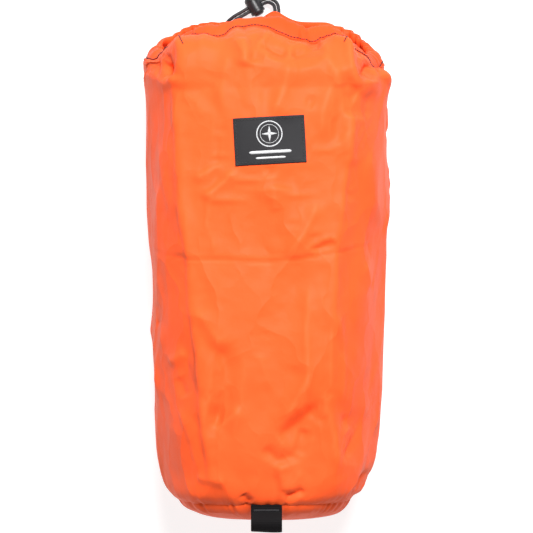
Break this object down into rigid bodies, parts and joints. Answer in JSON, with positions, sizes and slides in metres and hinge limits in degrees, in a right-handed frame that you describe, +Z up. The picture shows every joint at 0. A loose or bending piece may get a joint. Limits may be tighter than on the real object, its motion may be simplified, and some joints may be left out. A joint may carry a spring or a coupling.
{
  "type": "stuff sack",
  "caption": "Filled cylindrical stuff sack lying on its back, with a drawcord channel, a cord lock on two tails, a woven label and a webbing grab loop.",
  "frame": {"origin": "centre of the flat patch on the underside that the filled sack rests on", "axes": "+Y runs along the sack towards its mouth, +X is the right-hand side seen from above, +Z is up from the table"},
  "size_m": [0.202, 0.4511, 0.1921],
  "materials": {
    "nylon": "coated plain-weave nylon with a soft sheen",
    "hem_thread": "dark red-brown sewing thread",
    "black_thread": "black sewing thread",
    "cord": "black braided cord",
    "lock_plastic": "moulded, satin",
    "spring_steel": "bright wire",
    "webbing": "black ribbed webbing",
    "label_weave": "black woven label"
  },
  "bodies": {
    "sack": {"body_panel": "nylon", "bottom_panel": "nylon", "lengthwise_seam": "nylon", "bottom_seam": "nylon", "drawcord_channel": "nylon", "hem_stitching": "hem_thread", "slit_bartack_left": "hem_thread", "slit_bartack_right": "hem_thread", "drawcord": "cord", "cord_tail_left": "cord", "cord_tail_right": "cord", "tail_knot": "cord", "label_patch": "label_weave", "label_stitching": "black_thread"},
    "grab_loop": {"grab_loop_webbing": "webbing", "grab_loop_bartack": "black_thread"},
    "cord_lock": {"lock_barrel": "lock_plastic", "lock_spring": "spring_steel"},
    "lock_button": {"lock_plunger": "lock_plastic"}
  },
  "joints": [
    {"name": "grab_loop_flip", "type": "hinge", "parent": "sack", "child": "grab_loop", "pos_m": [0, -0.1942, 0.172], "axis": [-1, 0, 0], "range_deg": [-20, 90]},
    {"name": "lock_slide", "type": "slide", "parent": "sack", "child": "cord_lock", "axis": [-0.866, -0.5, 0], "range_m": [0, 0.012]},
    {"name": "lock_button_press", "type": "slide", "parent": "cord_lock", "child": "lock_button", "axis": [-0.5, 0.866, 0], "range_m": [0, 0.002], "stiffness_N_per_m": 500, "springref_m": -0.004, "deforming": ["lock_spring"]}
  ]
}
